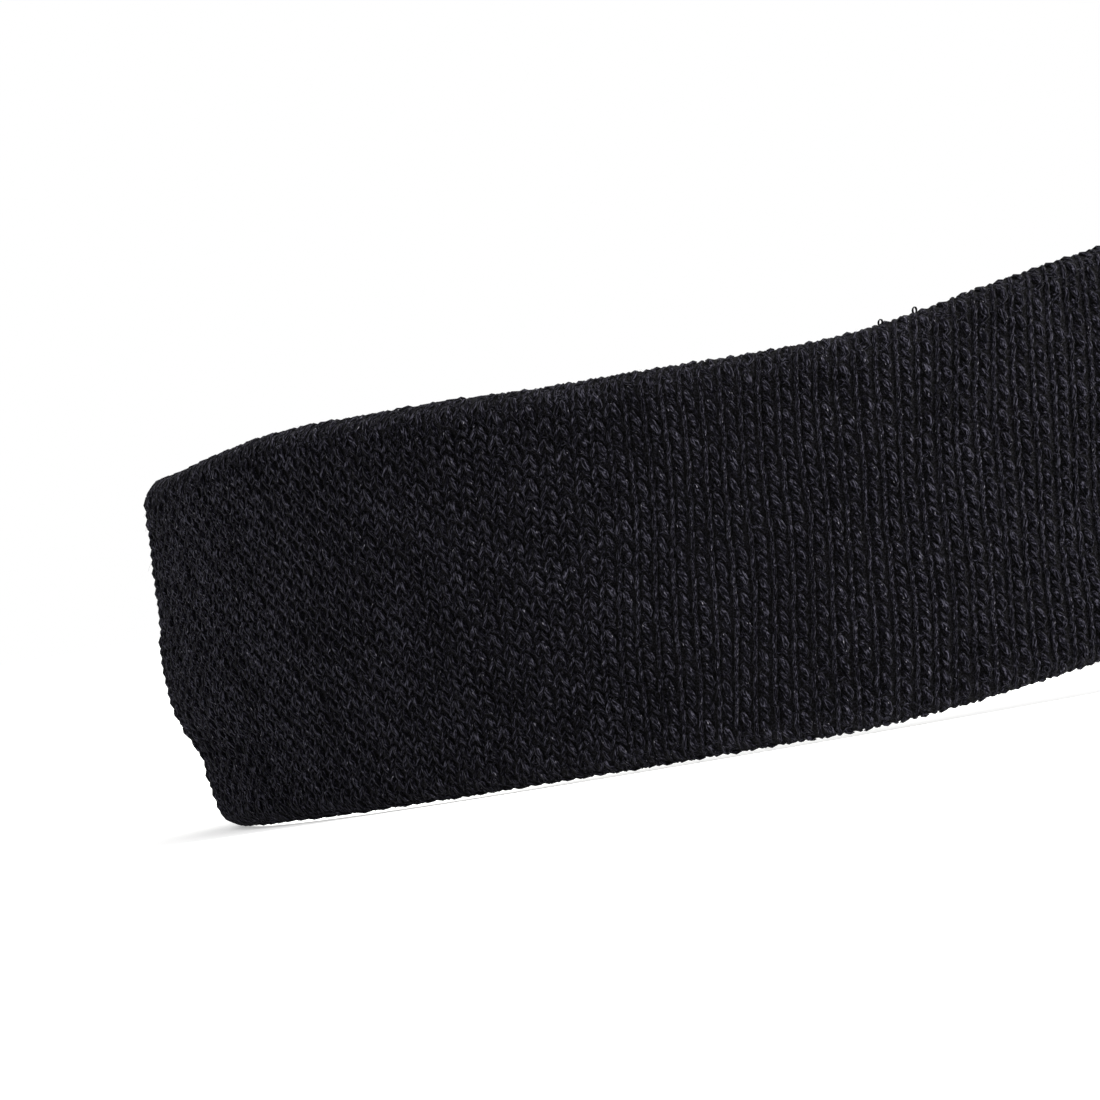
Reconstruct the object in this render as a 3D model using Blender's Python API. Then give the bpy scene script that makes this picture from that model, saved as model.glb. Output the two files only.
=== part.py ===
"""Sports headband: a double knitted band with elastic threads between its layers.

The band stands on its lower edge, opened to the shape of the head that it was last worn on.
X runs from side to side, Y from front (-Y) to back (+Y), and Z is up. Sizes are in metres.
"""

import math

import bmesh
import bpy

# The loop, seen from above: an ellipse through the outer face of the band.
HALF_WIDTH = 0.083
HALF_DEPTH = 0.101

# The band's section.
BAND_HEIGHT = 0.043
THICKNESS = 0.0056
CLOTH = 0.0014
LIP_HEIGHT = 0.0075
CLEARANCE = 0.0003

# Thread sizes.
ELASTIC_COUNT = 8
ELASTIC_DIAMETER = 0.0009
ELASTIC_MARGIN = 0.0058
ELASTIC_SIDES = 5
CHAIN_WIDTH = 0.0011
TACK_HEIGHT = 0.0036
TACK_RISE = 0.0007

# The label at the back.
LABEL_HEIGHT = 0.016
LABEL_THICKNESS = 0.0006
LABEL_STITCH_HEIGHT = 0.0007
LABEL_STITCH_INSET = 0.0012

# Facets.
STATIONS = 72
FOLD_FACETS = 5
INNER_FOLD_FACETS = 3
WALL_FACETS = 6

# The soft wave of the front right edge: where it starts, crests and ends, in degrees from the front.
WAVE_HEIGHT = 0.0065
WAVE_START = -8.5
WAVE_CREST = 38.0
WAVE_END = 100.0

# How far the worn upper edge stands above its plain height, in metres, at angles from the front.
# It sinks where the band turns on the left and swells on either side of the front.
EDGE_SWELL = (
    (-180.0, 0.0),
    (-140.0, -0.0006),
    (-100.0, -0.0019),
    (-80.0, -0.0017),
    (-50.0, 0.00075),
    (-38.0, 0.0006),
    (-24.0, 0.0),
    (-1.0, -0.00035),
    (12.0, 0.0005),
    (40.0, 0.0005),
    (90.0, 0.0),
    (180.0, 0.0),
)
SWELL_LEVEL = 0.4

# How far the left side stands out from the plain loop, in metres, at shares of the band's height:
# the lower edge is tucked in and the wall bulges out over it.
SIDE_BULGE = (
    (0.0, -0.0021),
    (0.16, -0.00125),
    (0.37, 0.00155),
    (0.46, 0.0017),
    (0.62, 0.00105),
    (0.85, 0.00065),
    (1.0, 0.0002),
)
BULGE_CENTRE = -92.0
BULGE_REACH = 60.0

# The bulge makes the left side stand out, so the loop is shifted to keep the origin in the middle.
PLAN_SHIFT = 0.00085

BLACK_YARN = (0.012, 0.011, 0.014, 1.0)
INNER_YARN = (0.014, 0.013, 0.016, 1.0)
ELASTIC_COVER = (0.03, 0.03, 0.032, 1.0)
CHAIN_YARN = (0.010, 0.010, 0.012, 1.0)
LABEL_SATIN = (0.72, 0.71, 0.69, 1.0)
WHITE_THREAD = (0.80, 0.80, 0.78, 1.0)


def smooth_step(value):
    """Ease from 0 to 1 as the value goes from 0 to 1."""
    value = min(max(value, 0.0), 1.0)
    return value * value * (3.0 - 2.0 * value)


def station_angle(index):
    """Angle of a station in degrees, from the front centre towards +X, between -180 and 180."""
    return index * 360.0 / STATIONS - 180.0


def wave_lift(angle):
    """How far the band is lifted at an angle."""
    if angle < WAVE_CREST:
        share = smooth_step((angle - WAVE_START) / (WAVE_CREST - WAVE_START))
    else:
        share = smooth_step((WAVE_END - angle) / (WAVE_END - WAVE_CREST))
    return WAVE_HEIGHT * share


def ease_between(stations, place):
    """Value at a place between stations, easing from each station's value to the next one's."""
    place = min(max(place, stations[0][0]), stations[-1][0])
    for (start, first), (end, second) in zip(stations, stations[1:]):
        if place <= end:
            return first + (second - first) * smooth_step((place - start) / (end - start))
    return stations[-1][1]


def edge_swell(angle, height):
    """How far the upper part of the wall is raised at an angle and a height."""
    level = height / BAND_HEIGHT
    return ease_between(EDGE_SWELL, angle) * smooth_step((level - SWELL_LEVEL) / (1.0 - SWELL_LEVEL))


def side_offset(angle, height):
    """How far the wall stands out from the plain ellipse at an angle and a height."""
    share = smooth_step(1.0 - abs(angle - BULGE_CENTRE) / BULGE_REACH)
    return share * ease_between(SIDE_BULGE, height / BAND_HEIGHT)


def place(angle, depth, height):
    """Point of the band at an angle, a depth in from the outer face and a height."""
    turn = math.radians(angle)
    normal_x = math.sin(turn) / HALF_WIDTH
    normal_y = -math.cos(turn) / HALF_DEPTH
    length = math.hypot(normal_x, normal_y)
    out = (side_offset(angle, height) - depth) / length
    x = PLAN_SHIFT + HALF_WIDTH * math.sin(turn) + out * normal_x
    y = -HALF_DEPTH * math.cos(turn) + out * normal_y
    return (x, y, height + wave_lift(angle) + edge_swell(angle, height))


def arc(centre_depth, centre_height, radius, start, end, facets):
    """Points of a section arc, with angles in degrees from the inward direction towards up."""
    points = []
    for step in range(facets + 1):
        turn = math.radians(start + (end - start) * step / facets)
        points.append((centre_depth + radius * math.cos(turn), centre_height + radius * math.sin(turn)))
    return points


def straight(depth, start, end, facets):
    """Inner points of a straight section wall, without its two ends."""
    return [(depth, start + (end - start) * step / facets) for step in range(1, facets)]


def outer_layer_section():
    """Section of the outer layer: the front wall, two rolled edges and two lips on the inside."""
    radius = THICKNESS / 2.0
    inner_radius = radius - CLOTH
    # An odd number of facets leaves one level facet at the very top and bottom of each fold.
    drop = radius * math.cos(math.pi / FOLD_FACETS / 2.0)
    low = drop
    high = BAND_HEIGHT - drop
    lip_low = LIP_HEIGHT
    lip_high = BAND_HEIGHT - LIP_HEIGHT
    points = [(THICKNESS, lip_high)]
    points += arc(radius, high, radius, 0.0, 180.0, FOLD_FACETS)
    points += straight(0.0, high, low, WALL_FACETS)
    points += arc(radius, low, radius, 180.0, 360.0, FOLD_FACETS)
    points += [(THICKNESS, lip_low), (THICKNESS - CLOTH, lip_low)]
    points += arc(radius, low, inner_radius, 360.0, 180.0, INNER_FOLD_FACETS)
    points += straight(CLOTH, low, high, WALL_FACETS)
    points += arc(radius, high, inner_radius, 180.0, 0.0, INNER_FOLD_FACETS)
    points += [(THICKNESS - CLOTH, lip_high)]
    return points


def inner_layer_section():
    """Section of the inner layer, which fills the space between the lips and their chains."""
    joint = CHAIN_WIDTH + 2.0 * CLEARANCE
    low = LIP_HEIGHT + joint
    high = BAND_HEIGHT - LIP_HEIGHT - joint
    back = THICKNESS - CLOTH
    points = [(THICKNESS, low)]
    points += straight(THICKNESS, low, high, WALL_FACETS)
    points += [(THICKNESS, high), (back, high)]
    points += straight(back, high, low, WALL_FACETS)
    points += [(back, low)]
    return points


def thread_section(centre_depth, centre_height, diameter, sides):
    """Section of a round thread."""
    return arc(centre_depth, centre_height, diameter / 2.0, 0.0, 360.0, sides)[:-1]


def block_section(depth_start, depth_end, low, high):
    """Section of a flat strip."""
    return [(depth_start, low), (depth_end, low), (depth_end, high), (depth_start, high)]


def yarn_material(name, color, roughness):
    """Plain material of a yarn or a tape."""
    material = bpy.data.materials.new(name)
    material.use_nodes = True
    shader = material.node_tree.nodes["Principled BSDF"]
    shader.inputs["Base Color"].default_value = color
    shader.inputs["Roughness"].default_value = roughness
    shader.inputs["Metallic"].default_value = 0.0
    return material


def add_piece(name, mesh_builder, material):
    """Turn a finished bmesh into a named object with its material."""
    bmesh.ops.recalc_face_normals(mesh_builder, faces=mesh_builder.faces)
    mesh = bpy.data.meshes.new(name)
    mesh_builder.to_mesh(mesh)
    mesh_builder.free()
    mesh.shade_smooth()
    mesh.set_sharp_from_angle(angle=math.radians(40.0))
    mesh.materials.append(material)
    piece = bpy.data.objects.new(name, mesh)
    bpy.context.scene.collection.objects.link(piece)
    return piece


def join_sections(mesh_builder, first, second):
    """Skin the space between two neighbouring sections."""
    count = len(first)
    for index in range(count):
        after = (index + 1) % count
        mesh_builder.faces.new((first[index], first[after], second[after], second[index]))


def ring_piece(name, section, material):
    """Piece that runs all the way round the band."""
    mesh_builder = bmesh.new()
    rings = []
    for index in range(STATIONS):
        angle = station_angle(index)
        rings.append([mesh_builder.verts.new(place(angle, depth, height)) for depth, height in section])
    for index in range(STATIONS):
        join_sections(mesh_builder, rings[index], rings[(index + 1) % STATIONS])
    return add_piece(name, mesh_builder, material)


def strip_piece(name, section, angles, material):
    """Short piece that lies along the band between its first and last angle."""
    mesh_builder = bmesh.new()
    rings = []
    for angle in angles:
        rings.append([mesh_builder.verts.new(place(angle, depth, height)) for depth, height in section])
    for first, second in zip(rings, rings[1:]):
        join_sections(mesh_builder, first, second)
    mesh_builder.faces.new(rings[0])
    mesh_builder.faces.new(rings[-1])
    return add_piece(name, mesh_builder, material)


def build_layers():
    """The two knitted layers."""
    outer_yarn = yarn_material("outer_yarn", BLACK_YARN, 0.9)
    inner_yarn = yarn_material("inner_yarn", INNER_YARN, 0.92)
    ring_piece("outer_knit_layer", outer_layer_section(), outer_yarn)
    ring_piece("inner_knit_layer", inner_layer_section(), inner_yarn)


def build_elastic_threads():
    """The covered elastic threads between the layers, evenly spread over the height."""
    cover = yarn_material("elastic_cover", ELASTIC_COVER, 0.6)
    spacing = (BAND_HEIGHT - 2.0 * ELASTIC_MARGIN) / (ELASTIC_COUNT - 1)
    for index in range(ELASTIC_COUNT):
        height = ELASTIC_MARGIN + index * spacing
        section = thread_section(THICKNESS / 2.0, height, ELASTIC_DIAMETER, ELASTIC_SIDES)
        ring_piece(f"elastic_thread_{index + 1}", section, cover)


def build_linking_chains():
    """The linking chains in the two joints, and the tacks that fasten their ends."""
    chain_yarn = yarn_material("chain_yarn", CHAIN_YARN, 0.85)
    tack_angles = (170.0, 172.0)
    levels = {
        "lower": LIP_HEIGHT + CLEARANCE,
        "upper": BAND_HEIGHT - LIP_HEIGHT - CLEARANCE - CHAIN_WIDTH,
    }
    for side, low in levels.items():
        section = block_section(THICKNESS - CHAIN_WIDTH, THICKNESS, low, low + CHAIN_WIDTH)
        ring_piece(f"linking_thread_{side}", section, chain_yarn)
        middle = low + CHAIN_WIDTH / 2.0
        face = THICKNESS + CLEARANCE
        half = TACK_HEIGHT / 2.0
        tack = block_section(face, face + TACK_RISE, middle - half, middle + half)
        strip_piece(f"linking_tack_{side}", tack, tack_angles, chain_yarn)


def build_label():
    """The blank care label on the inside at the back, and the stitches that hold it."""
    satin = yarn_material("label_satin", LABEL_SATIN, 0.4)
    thread = yarn_material("label_thread", WHITE_THREAD, 0.7)
    angles = (-180.0, -175.0, -170.0)
    joint_low = BAND_HEIGHT - LIP_HEIGHT - CHAIN_WIDTH - 2.0 * CLEARANCE
    top = joint_low - CLEARANCE
    face = THICKNESS + CLEARANCE
    label = block_section(face, face + LABEL_THICKNESS, top - LABEL_HEIGHT, top)
    strip_piece("care_label", label, angles, satin)
    stitch_face = face + LABEL_THICKNESS + CLEARANCE
    stitch_top = top - LABEL_STITCH_INSET
    stitch = block_section(stitch_face, stitch_face + LABEL_STITCH_HEIGHT / 2.0,
                           stitch_top - LABEL_STITCH_HEIGHT, stitch_top)
    strip_piece("label_stitching", stitch, angles, thread)


def main():
    """Clear the scene and build every piece."""
    for scene_object in list(bpy.data.objects):
        bpy.data.objects.remove(scene_object, do_unlink=True)
    build_layers()
    build_elastic_threads()
    build_linking_chains()
    build_label()


main()
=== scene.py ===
"""Looks of the sports headband: every stitch of its two knitted layers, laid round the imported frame.

The frame's band is an open oval loop that stands on its lower edge, with -Y at the front and +Z up.
Yarns start as straight tubes, are looped into stitches and are then wrapped round the band.
"""

import logging
import math
from dataclasses import dataclass, field
from enum import Enum

import bpy
import numpy as np
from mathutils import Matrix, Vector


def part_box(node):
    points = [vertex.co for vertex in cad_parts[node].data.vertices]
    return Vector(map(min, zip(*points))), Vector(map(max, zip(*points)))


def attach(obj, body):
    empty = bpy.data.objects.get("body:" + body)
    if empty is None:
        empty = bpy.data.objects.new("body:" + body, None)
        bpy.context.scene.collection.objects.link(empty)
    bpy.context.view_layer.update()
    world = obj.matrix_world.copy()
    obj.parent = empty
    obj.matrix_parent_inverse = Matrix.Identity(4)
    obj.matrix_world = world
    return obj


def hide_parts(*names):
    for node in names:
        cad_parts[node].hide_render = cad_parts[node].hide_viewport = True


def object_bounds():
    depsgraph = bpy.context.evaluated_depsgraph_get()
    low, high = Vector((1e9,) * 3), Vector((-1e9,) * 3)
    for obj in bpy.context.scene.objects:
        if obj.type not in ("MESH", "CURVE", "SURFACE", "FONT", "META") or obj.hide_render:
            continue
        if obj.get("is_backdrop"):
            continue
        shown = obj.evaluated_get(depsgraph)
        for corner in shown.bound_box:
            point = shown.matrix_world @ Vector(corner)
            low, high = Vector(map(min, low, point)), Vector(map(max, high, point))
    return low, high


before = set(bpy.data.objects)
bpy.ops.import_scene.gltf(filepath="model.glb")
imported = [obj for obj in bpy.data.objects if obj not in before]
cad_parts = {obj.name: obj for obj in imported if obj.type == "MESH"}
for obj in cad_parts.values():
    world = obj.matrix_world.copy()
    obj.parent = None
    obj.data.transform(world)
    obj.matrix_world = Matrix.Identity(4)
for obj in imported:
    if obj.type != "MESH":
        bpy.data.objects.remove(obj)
LOG = logging.getLogger("headband")
MM = 0.001
FULL_TURN = 2.0 * math.pi


class Slot(Enum):
    """Material slots of the record."""

    OUTER = "outer_yarn"
    INNER = "inner_yarn"
    CHAIN = "chain_yarn"
    SATIN = "label_satin"
    THREAD = "label_thread"


def srgb(code: str) -> tuple[float, float, float, float]:
    """Turn an sRGB hex code into linear colour.

    Args:
        code: six hex digits, with or without a leading hash.

    Returns:
        Red, green, blue and an alpha of 1, all linear.
    """
    digits = code.lstrip("#")
    parts = [int(digits[i:i + 2], 16) / 255.0 for i in (0, 2, 4)]
    linear = [p / 12.92 if p <= 0.04045 else ((p + 0.055) / 1.055) ** 2.4 for p in parts]
    return (linear[0], linear[1], linear[2], 1.0)


def smooth_step(value: np.ndarray) -> np.ndarray:
    """Ease from 0 to 1 as the value goes from 0 to 1."""
    value = np.clip(value, 0.0, 1.0)
    return value * value * (3.0 - 2.0 * value)


# ---- modelling helpers


def deselect_all() -> None:
    """Leave edit mode and clear the selection."""
    if bpy.context.object is not None and bpy.context.object.mode != "OBJECT":
        bpy.ops.object.mode_set(mode="OBJECT")
    bpy.ops.object.select_all(action="DESELECT")


def take(piece: bpy.types.Object) -> None:
    """Select one object alone and make it active."""
    deselect_all()
    piece.select_set(True)
    bpy.context.view_layer.objects.active = piece


def settle(name: str) -> bpy.types.Object:
    """Name the active object and put its place, turn and size into its mesh.

    Args:
        name: the new object's name.

    Returns:
        The active object.
    """
    piece = bpy.context.active_object
    piece.name = name
    piece.data.name = name
    bpy.ops.object.transform_apply(location=True, rotation=True, scale=True)
    return piece


def apply_modifier(piece: bpy.types.Object, kind: str, **settings: object) -> None:
    """Add a modifier and apply it at once.

    Args:
        piece: the object that gets it.
        kind: the modifier's type.
        settings: its properties.
    """
    take(piece)
    modifier = piece.modifiers.new(kind.title(), kind)
    for key, value in settings.items():
        setattr(modifier, key, value)
    bpy.ops.object.modifier_apply(modifier=modifier.name)


def repeat(piece: bpy.types.Object, count: int, step: tuple[float, float, float], merge: bool) -> None:
    """Array a piece at a constant step.

    Args:
        piece: the object to repeat.
        count: how many copies there are in all.
        step: the way from one copy to the next, in metres.
        merge: whether neighbouring copies are welded.
    """
    apply_modifier(
        piece, "ARRAY", count=count, use_relative_offset=False, use_constant_offset=True,
        constant_offset_displace=step, use_merge_vertices=merge, merge_threshold=0.01 * MM,
    )


def points_of(piece: bpy.types.Object) -> np.ndarray:
    """Read the vertex places of a mesh.

    Args:
        piece: the mesh object.

    Returns:
        Rows of x, y and z.
    """
    flat = np.empty(len(piece.data.vertices) * 3, dtype=np.float32)
    piece.data.vertices.foreach_get("co", flat)
    return flat.reshape(-1, 3).astype(float)


def move_points(piece: bpy.types.Object, points: np.ndarray) -> None:
    """Write new vertex places into a mesh."""
    piece.data.vertices.foreach_set("co", points.astype(np.float32).ravel())
    piece.data.update()


def weld(piece: bpy.types.Object, reach: float = 0.002 * MM) -> None:
    """Merge the vertices that lie on each other, where a ring closes.

    Args:
        piece: the mesh object.
        reach: how far apart merged vertices may lie.
    """
    take(piece)
    bpy.ops.object.mode_set(mode="EDIT")
    bpy.ops.mesh.select_all(action="SELECT")
    bpy.ops.mesh.remove_doubles(threshold=reach)
    bpy.ops.object.mode_set(mode="OBJECT")


def smooth(piece: bpy.types.Object) -> None:
    """Shade a piece smooth all over."""
    take(piece)
    bpy.ops.object.shade_smooth()


def bead_row(name: str, size: tuple[float, float, float], count: int, step: float) -> bpy.types.Object:
    """Set long round beads in a row along +X.

    Args:
        name: the piece's name.
        size: half of a bead's length each way.
        count: how many beads there are.
        step: the way from one bead to the next.

    Returns:
        The row, with its first bead at the origin.
    """
    deselect_all()
    bpy.ops.mesh.primitive_uv_sphere_add(segments=10, ring_count=8, radius=1.0, scale=size)
    row = settle(name)
    repeat(row, count, (step, 0.0, 0.0), merge=False)
    return row


def finish_piece(piece: bpy.types.Object, material: bpy.types.Material, slot: Slot, *nodes: str) -> None:
    """Dress a piece, make it ride on the band and hide the CAD nodes that it stands for.

    Args:
        piece: the finished piece.
        material: its finish.
        slot: the record's material slot; not used.
        nodes: names of the CAD nodes that it replaces.
    """
    piece.data.materials.clear()
    piece.data.materials.append(material)
    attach(piece, "root")
    if nodes:
        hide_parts(*nodes)
    LOG.info("%s: %d faces", piece.name, len(piece.data.polygons))


# ---- the band's shape


# How far the worn upper edge stands above its plain height, at angles from the front: it sinks where
# the band turns on the left and swells on either side of the front.
EDGE_SWELL = (
    (-180.0, 0.0), (-140.0, -0.0006), (-100.0, -0.0019), (-80.0, -0.0017), (-50.0, 0.00075), (-38.0, 0.0006),
    (-24.0, 0.0), (-1.0, -0.00035), (12.0, 0.0005), (40.0, 0.0005), (90.0, 0.0), (180.0, 0.0),
)

# How far the left side stands out from the plain loop, at shares of the band's height: the lower edge is
# tucked in and the wall bulges out over it.
SIDE_BULGE = (
    (0.0, -0.0021), (0.16, -0.00125), (0.37, 0.00155), (0.46, 0.0017), (0.62, 0.00105), (0.85, 0.00065),
    (1.0, 0.0002),
)


def ease_between(stations: tuple[tuple[float, float], ...], place: np.ndarray) -> np.ndarray:
    """Value at places between stations, easing from each station's value to the next one's.

    Args:
        stations: places in rising order and the value at each.
        place: where the value is wanted; past the ends it stays at the end's value.

    Returns:
        The values.
    """
    value = np.full(np.shape(place), stations[0][1])
    for (start, first), (end, second) in zip(stations, stations[1:]):
        value = value + (second - first) * smooth_step((place - start) / (end - start))
    return value


@dataclass(frozen=True)
class Band:
    """Shape of the worn loop, as the frame has it. Lengths are in metres and angles in degrees."""

    half_width: float = 0.083
    half_depth: float = 0.101
    height: float = 0.043
    thickness: float = 0.0056
    lip_height: float = 0.0075
    joint: float = 0.0017
    wave_height: float = 0.0065
    wave_start: float = -8.5
    wave_crest: float = 38.0
    wave_end: float = 100.0
    swell_level: float = 0.4
    bulge_centre: float = -92.0
    bulge_reach: float = 60.0
    plan_shift: float = 0.00085
    arc_samples: int = 3600

    def arc_table(self) -> tuple[np.ndarray, np.ndarray]:
        """Angles round the loop and the length of the outer face up to each.

        Returns:
            The angles in radians from -180 degrees on, and the lengths in metres.
        """
        angles = np.linspace(-math.pi, math.pi, self.arc_samples + 1)
        x = self.half_width * np.sin(angles)
        y = -self.half_depth * np.cos(angles)
        steps = np.hypot(np.diff(x), np.diff(y))
        return angles, np.concatenate([[0.0], np.cumsum(steps)])

    @property
    def girth(self) -> float:
        """Length of the outer face all the way round."""
        return float(self.arc_table()[1][-1])

    def angle_at(self, share: np.ndarray) -> np.ndarray:
        """Angle at a share of the way round.

        Args:
            share: shares of the girth, counted from the back towards -X.

        Returns:
            Angles in radians.
        """
        angles, lengths = self.arc_table()
        turns = np.floor(share)
        return np.interp((share - turns) * lengths[-1], lengths, angles) + turns * FULL_TURN

    def place(self, angle: np.ndarray, depth: np.ndarray, height: np.ndarray) -> np.ndarray:
        """Points of the band.

        Args:
            angle: angles in radians from the front centre towards +X.
            depth: how far in from the plain outer face.
            height: height above the lower edge.

        Returns:
            Rows of x, y and z.
        """
        degrees = np.degrees((angle + math.pi) % FULL_TURN - math.pi)
        level = height / self.height
        rise = smooth_step((degrees - self.wave_start) / (self.wave_crest - self.wave_start))
        fall = smooth_step((self.wave_end - degrees) / (self.wave_end - self.wave_crest))
        lift = self.wave_height * np.where(degrees < self.wave_crest, rise, fall)
        upper = smooth_step((level - self.swell_level) / (1.0 - self.swell_level))
        lift = lift + ease_between(EDGE_SWELL, degrees) * upper
        side = smooth_step(1.0 - np.abs(degrees - self.bulge_centre) / self.bulge_reach)
        normal_x = np.sin(angle) / self.half_width
        normal_y = -np.cos(angle) / self.half_depth
        out = (side * ease_between(SIDE_BULGE, level) - depth) / np.hypot(normal_x, normal_y)
        x = self.plan_shift + self.half_width * np.sin(angle) + out * normal_x
        y = -self.half_depth * np.cos(angle) + out * normal_y
        return np.stack([x, y, height + lift], axis=-1)


@dataclass(frozen=True)
class OuterPath:
    """The outer layer's way over the section: up the front, over both edges and on to the inside."""

    band: Band
    base: float = 0.6 * MM
    edge_squeeze: float = 0.62
    squeeze_start: float = 0.7
    direction: float = 1.0

    @property
    def flat(self) -> float:
        """Height of the straight front wall."""
        return self.band.height - self.band.thickness

    @property
    def roll(self) -> float:
        """Radius of the rolled edges, at the middle of the stitches."""
        return self.band.thickness / 2.0 - self.base

    @property
    def half_length(self) -> float:
        """Length from the middle of the front to the end of a lip."""
        return self.flat / 2.0 + math.pi * self.roll + self.band.lip_height - self.band.thickness / 2.0

    def section(self, across: np.ndarray, out: np.ndarray) -> tuple[np.ndarray, np.ndarray]:
        """Depth and height of points of the cloth.

        Args:
            across: way up the cloth from the middle of the front.
            out: how far the points stand out of the cloth.

        Returns:
            Depths from the plain outer face and heights above the lower edge.
        """
        half = self.flat / 2.0
        past = np.abs(across) - half
        turn = np.clip(past / self.roll, 0.0, math.pi)
        lip = np.maximum(past - math.pi * self.roll, 0.0)
        # The stitches are drawn flat over the rolled edges, so that the edges look nearly even.
        squeeze = 1.0 - self.edge_squeeze * smooth_step(past / (self.squeeze_start * self.roll))
        radius = self.band.thickness / 2.0 - (self.base - out) * squeeze
        depth = self.band.thickness / 2.0 - radius * np.cos(turn)
        rise = np.where(past > 0.0, half + radius * np.sin(turn) - lip, np.abs(across))
        return depth, self.band.height / 2.0 + np.sign(across) * rise


@dataclass(frozen=True)
class InsidePath:
    """The way round the inside at one level: that of the inner layer, or of a chain in a joint."""

    band: Band
    level: float
    base: float = 0.6 * MM
    direction: float = -1.0

    @property
    def half_length(self) -> float:
        """Half the height of the inner layer, which fills the room between the lips."""
        return self.band.height / 2.0 - self.band.lip_height - self.band.joint

    def section(self, across: np.ndarray, out: np.ndarray) -> tuple[np.ndarray, np.ndarray]:
        """Depth and height of points of the cloth, as for the outer layer."""
        return self.band.thickness - self.base + out, self.level + across


# ---- stitches


@dataclass(frozen=True)
class LoopShape:
    """One stitch, as rings of its yarn: along in wales, across in courses, out in metres, and girth.

    Where the cloth is drawn to one side the left leg stands upright, and the rings are at upright instead.
    """

    along: tuple[float, ...]
    upright: tuple[float, ...]
    across: tuple[float, ...]
    out: tuple[float, ...]
    girth: tuple[float, ...]
    sides: int = 5

    @property
    def rings(self) -> int:
        """Rings of one stitch."""
        return len(self.along)


# The legs meet at the top of each stitch. The left one lies deeper and looks thinner than the right.
FACE_LOOP = LoopShape(
    along=(-0.50, -0.30, -0.08, -0.18, -0.35, -0.36, 0.0, 0.38, 0.42, 0.27, 0.10, 0.06),
    upright=(-0.50, -0.38, -0.24, -0.21, -0.25, -0.23, 0.0, 0.36, 0.39, 0.25, 0.09, 0.05),
    across=(0.50, 0.50, 0.34, -0.02, -0.46, -0.84, -1.05, -0.84, -0.52, -0.12, 0.28, 0.48),
    out=(-0.56e-3, -0.40e-3, -0.04e-3, 0.12e-3, 0.05e-3, -0.36e-3, -0.52e-3, -0.40e-3, -0.04e-3,
         0.14e-3, 0.04e-3, -0.32e-3),
    girth=(0.6, 0.65, 0.82, 0.92, 0.86, 0.62, 0.65, 0.65, 0.92, 1.06, 0.88, 0.6),
)

# The same stitch with fewer rings, for the edges and the cloth that shows from inside the loop.
EDGE_LOOP = LoopShape(
    along=(-0.50, -0.18, -0.14, -0.34, -0.30, 0.08, 0.42, 0.28, 0.10, 0.14),
    upright=(-0.50, -0.28, -0.22, -0.25, -0.22, 0.08, 0.40, 0.27, 0.09, 0.14),
    across=(0.50, 0.46, 0.12, -0.42, -0.88, -1.04, -0.62, -0.18, 0.26, 0.50),
    out=(-0.50e-3, -0.30e-3, 0.05e-3, -0.02e-3, -0.38e-3, -0.46e-3, -0.10e-3, 0.08e-3, 0.04e-3, -0.32e-3),
    girth=(0.75, 0.75, 0.94, 0.90, 0.75, 0.75, 1.0, 1.20, 1.04, 0.75),
    sides=4,
)


def chain_strand(turn: float, rings: int = 10, spread: float = 0.30, depth: float = 0.22 * MM,
                 girth: float = 1.1) -> LoopShape:
    """One of the two strands that wind round each other to make a linking chain.

    Args:
        turn: where its winding starts, in radians.
        rings: rings of one winding.
        spread: how far it swings across the chain, in courses.
        depth: how far it swings in and out.
        girth: its girth.

    Returns:
        The strand's winding.
    """
    turns = [FULL_TURN * ring / rings + turn for ring in range(rings)]
    along = tuple(ring / rings - 0.5 for ring in range(rings))
    return LoopShape(
        along=along, upright=along, across=tuple(spread * math.sin(t) for t in turns),
        out=tuple(depth * math.cos(t) for t in turns), girth=(girth,) * rings,
    )


@dataclass(frozen=True)
class Gauge:
    """Size of the knit: stitches round the band, the height of a course and the thickness of the yarn."""

    wales: int = 264
    course: float = 1.26 * MM
    yarn_radius: float = 0.29 * MM


# The hand-worn cloth's slow waves along and across: each wave's size, its count round the band, how much
# it turns for each metre across, and where it starts.
SWAY = ((1.0, 9.0, 160.0, 0.0), (0.6, 23.0, -260.0, 1.3))
HEAVE = ((1.0, 13.0, 90.0, 0.7), (0.5, 31.0, 0.0, 2.1))


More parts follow.
